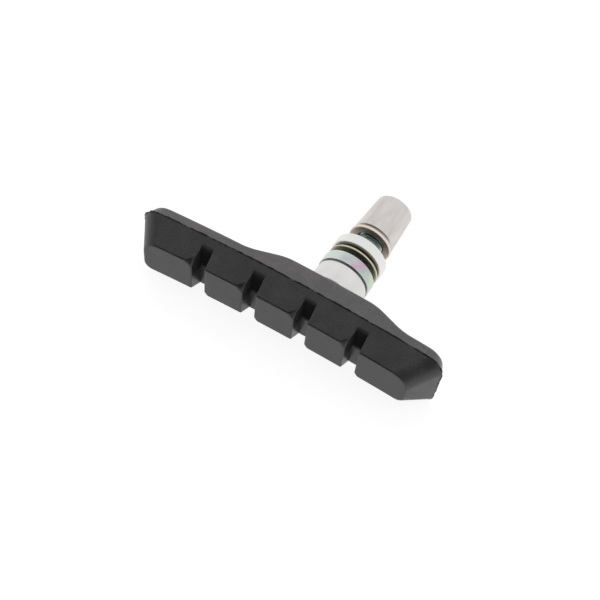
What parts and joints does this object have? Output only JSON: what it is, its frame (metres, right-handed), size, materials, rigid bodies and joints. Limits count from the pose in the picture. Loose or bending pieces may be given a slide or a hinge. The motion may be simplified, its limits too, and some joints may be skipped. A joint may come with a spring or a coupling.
{
  "type": "bicycle rim brake pad",
  "caption": "Curved black rubber rim brake pad with grooves across its braking face, on a threaded post that carries domed and dished washers, a flat washer and a barrel nut.",
  "frame": {"origin": "on the post's axis, where it leaves the flat boss on the pad's back", "axes": "+Y along the post away from the rim, +X along the pad to its short end, +Z away from the wheel's hub"},
  "size_m": [0.072, 0.0386, 0.0171],
  "materials": {
    "moulded_rubber": "moulded, dark grey to black, low sheen",
    "plain_steel": "bare rolled sheet",
    "plain_zinc": "zinc plated, plain",
    "satin_zinc": "zinc plated, satin",
    "iridescent_zinc": "zinc plated with an iridescent passivated film",
    "polished_plating": "bright plated"
  },
  "bodies": {
    "pad": {"brake_block": "moulded_rubber", "backing_plate": "plain_steel", "threaded_post": "plain_zinc", "thick_dome_washer": "satin_zinc", "thin_dome_washer": "satin_zinc"},
    "inner_cup": {"inner_cup_washer": "iridescent_zinc"},
    "outer_cup": {"outer_cup_washer": "iridescent_zinc"},
    "washer_carrier": {"flat_washer": "plain_zinc"},
    "nut": {"barrel_nut": "polished_plating"}
  },
  "joints": [
    {"name": "inner_cup_swivel", "type": "hinge", "parent": "pad", "child": "inner_cup", "pos_m": [0, 0.00043, 0], "axis": [0, 0, 1], "range_deg": [-3, 3]},
    {"name": "outer_cup_swivel", "type": "hinge", "parent": "pad", "child": "outer_cup", "pos_m": [0, 0.00528, 0], "axis": [0, 0, 1], "range_deg": [-3, 3]},
    {"name": "nut_travel", "type": "slide", "parent": "pad", "child": "washer_carrier", "axis": [0, 1, 0], "range_m": [-0.001, 0.004]},
    {"name": "nut_turn", "type": "hinge", "parent": "washer_carrier", "child": "nut", "pos_m": [0, 0.0171, 0], "axis": [0, 1, 0], "range_deg": [-361, 1441]}
  ],
  "couplings": [
    {"joint": "nut_turn", "follows": "nut_travel", "rad_per_m": 6283.2}
  ]
}
